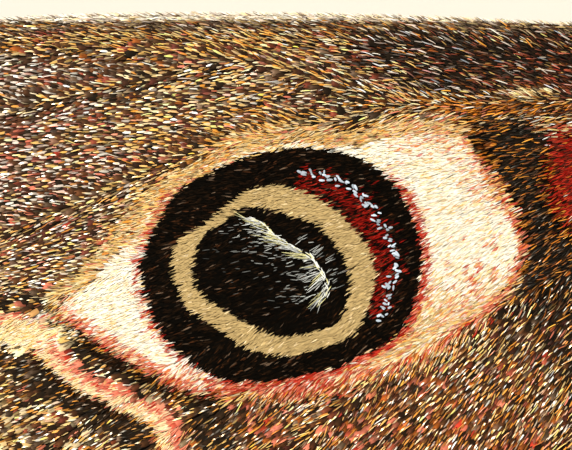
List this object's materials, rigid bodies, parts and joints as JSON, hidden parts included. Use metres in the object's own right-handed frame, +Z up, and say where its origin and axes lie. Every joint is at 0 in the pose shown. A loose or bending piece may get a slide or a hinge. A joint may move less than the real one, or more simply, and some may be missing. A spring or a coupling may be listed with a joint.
{
  "type": "emperor moth",
  "caption": "Male emperor moth at life size, a still model standing with its broad eye-spotted wings spread, a furry body and feathered antennae.",
  "frame": {"origin": "on the floor, under the middle of the moth's bounding box", "axes": "-Y is where the head points, +X is the moth's left, +Z is up from the floor its feet stand on"},
  "size_m": [0.0602, 0.0282, 0.0076],
  "materials": {
    "body_fur": "matte fur",
    "abdomen_fur": "matte fur",
    "eye": "glossy",
    "antenna": "matte",
    "leg": "matte fur",
    "forewing": "matte scales",
    "hindwing": "matte scales"
  },
  "bodies": {
    "root": {"head": "body_fur", "eye_left": "eye", "eye_right": "eye", "antenna_left": "antenna", "antenna_right": "antenna", "thorax": "body_fur", "abdomen": "abdomen_fur", "forewing_left": "forewing", "forewing_right": "forewing", "hindwing_left": "hindwing", "hindwing_right": "hindwing", "foreleg_left": "leg", "foreleg_right": "leg", "midleg_left": "leg", "midleg_right": "leg", "hindleg_left": "leg", "hindleg_right": "leg"}
  },
  "joints": []
}
